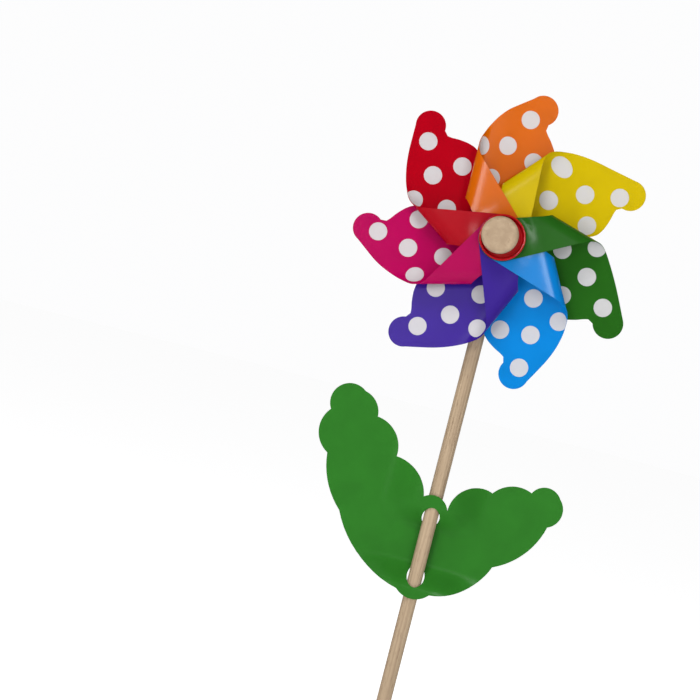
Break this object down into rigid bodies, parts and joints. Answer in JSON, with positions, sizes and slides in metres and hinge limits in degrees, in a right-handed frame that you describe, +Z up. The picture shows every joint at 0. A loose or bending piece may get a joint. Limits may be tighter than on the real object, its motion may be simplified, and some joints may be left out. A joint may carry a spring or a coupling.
{
  "type": "whirligig",
  "caption": "Toy whirligig: a wheel of curled, dotted plastic film blades in rainbow colours, pinned to a wooden stick that carries a green film leaf collar.",
  "frame": {"origin": "centre of the flat foot of the stick", "axes": "+Z up along the stick, -Y towards the viewer that the wheel faces, +X to the viewer's right"},
  "size_m": [0.1561, 0.0463, 0.4716],
  "materials": {
    "stick_wood": "bare beech dowel, fine grain",
    "knob_wood": "bare turned beech, end grain on the face",
    "pin_steel": "plain drawn wire",
    "red_plastic": "glossy deep red moulding",
    "hub_plastic": "plain natural tube",
    "film_red": "satin film, one side printed with pale grey dots",
    "film_orange": "satin film, one side printed with pale grey dots",
    "film_yellow": "satin film, one side printed with pale grey dots",
    "film_green": "satin film, one side printed with pale grey dots",
    "film_blue": "satin film, one side printed with pale grey dots",
    "film_purple": "satin film, one side printed with pale grey dots",
    "film_magenta": "satin film, one side printed with pale grey dots",
    "leaf_film": "satin green film"
  },
  "bodies": {
    "stick": {"stick": "stick_wood", "pin": "pin_steel", "bead": "knob_wood", "knob": "knob_wood"},
    "wheel": {"rear_washer": "red_plastic", "hub_sleeve": "hub_plastic", "spacer_tube": "hub_plastic", "dish": "red_plastic", "blade_red": "film_red", "blade_orange": "film_orange", "blade_yellow": "film_yellow", "blade_green": "film_green", "blade_blue": "film_blue", "blade_purple": "film_purple", "blade_magenta": "film_magenta"},
    "leaves": {"leaves": "leaf_film"}
  },
  "joints": [
    {"name": "wheel_spin", "type": "hinge", "parent": "stick", "child": "wheel", "pos_m": [0, -0.02, 0.39], "axis": [0, -1, 0], "continuous": true},
    {"name": "leaf_slide", "type": "slide", "parent": "stick", "child": "leaves", "axis": [0, 0, 1], "range_m": [-0.12, 0.015]}
  ]
}
